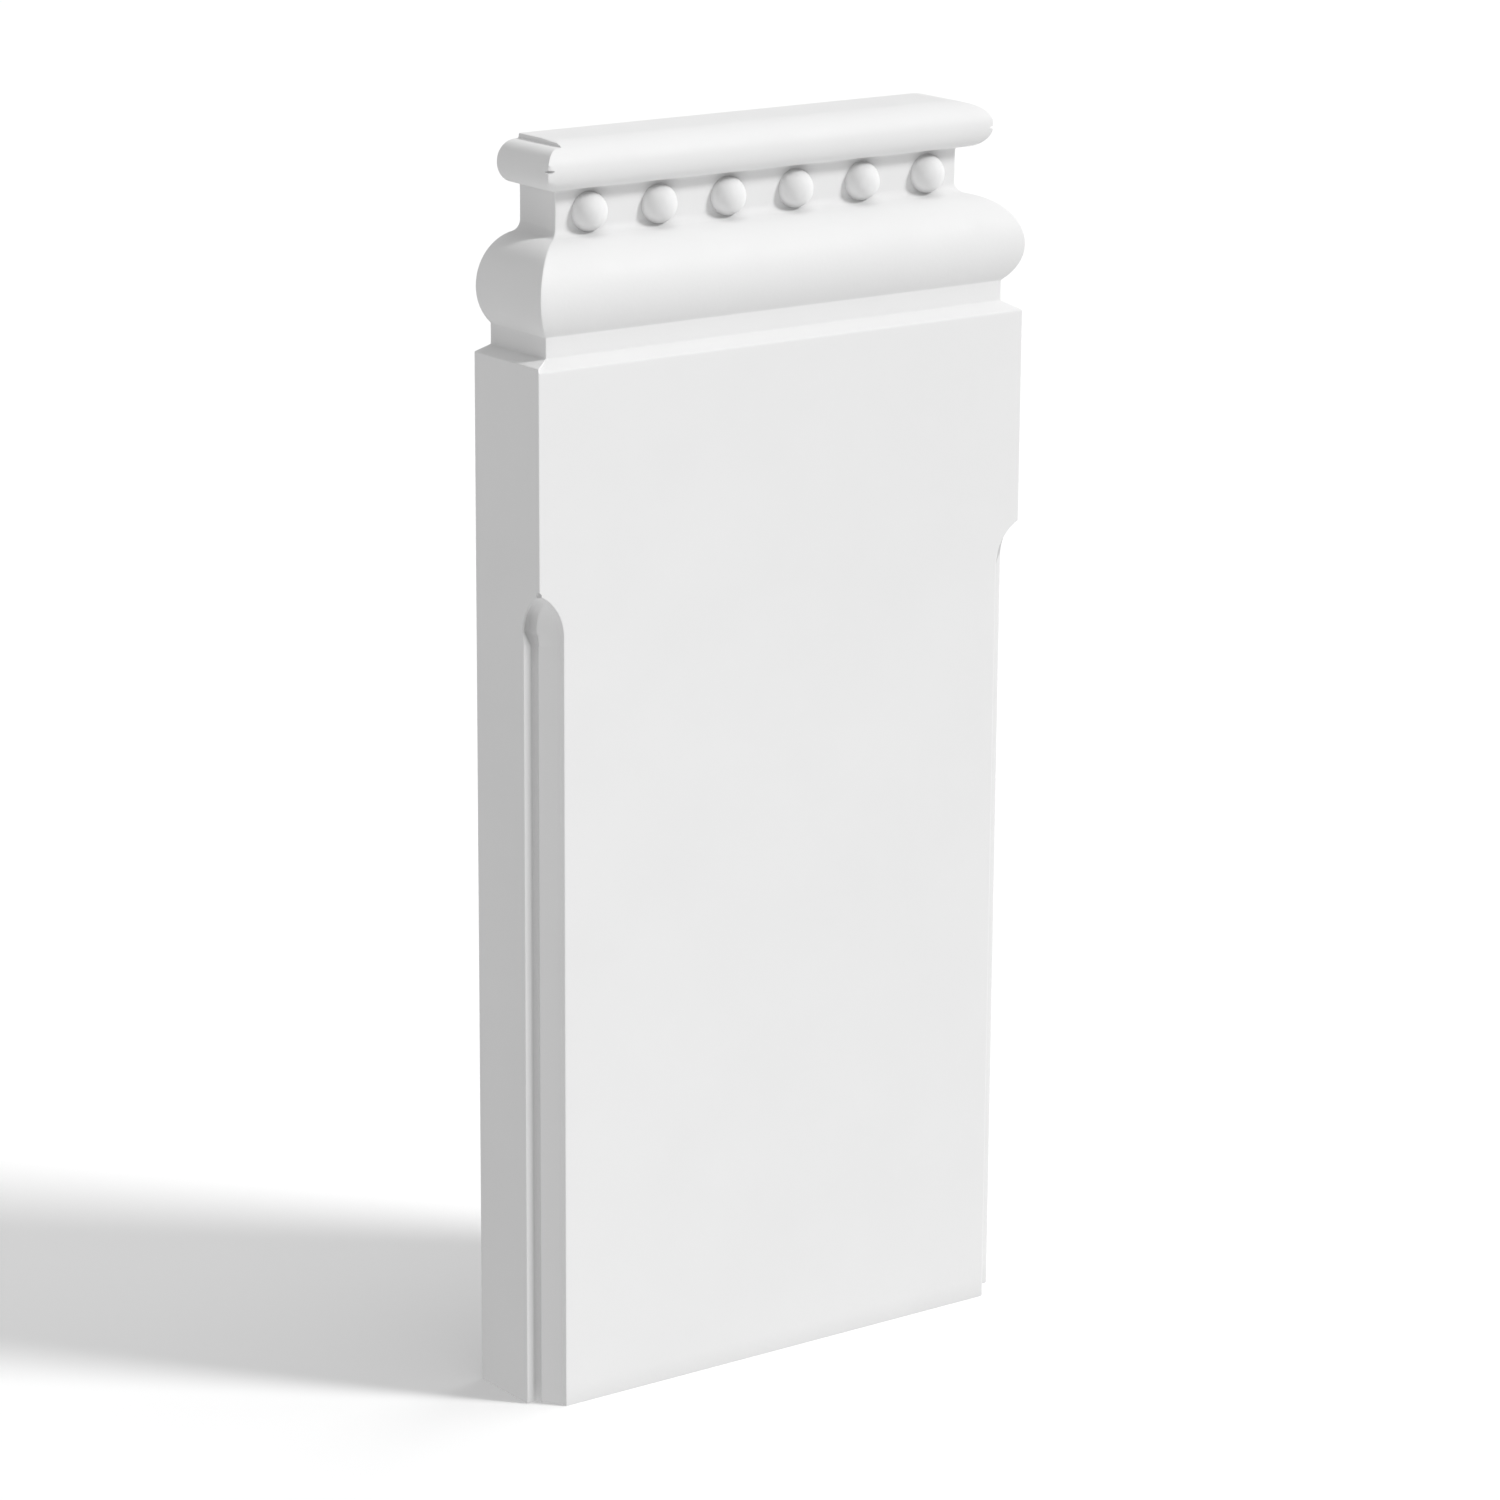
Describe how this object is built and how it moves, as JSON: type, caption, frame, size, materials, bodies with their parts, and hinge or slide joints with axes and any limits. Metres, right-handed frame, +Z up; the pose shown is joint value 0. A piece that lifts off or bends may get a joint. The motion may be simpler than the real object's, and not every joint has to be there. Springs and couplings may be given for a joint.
{
  "type": "plinth block",
  "caption": "Tall flat-backed plinth block for a pilaster or door surround, with mitred torus and cap mouldings, a bead row on the neck and stopped, quirked flats cut into its front corners.",
  "frame": {"origin": "centre of the bounding box's underside, on the floor", "axes": "+Z up, front faces -Y, flat back faces +Y, +X towards the right end as seen from the front"},
  "size_m": [0.2406, 0.0458, 0.5172],
  "materials": {
    "primed_hard_foam": "factory white primer, satin to matt"
  },
  "bodies": {
    "root": {"plinth_block": "primed_hard_foam"}
  },
  "joints": []
}
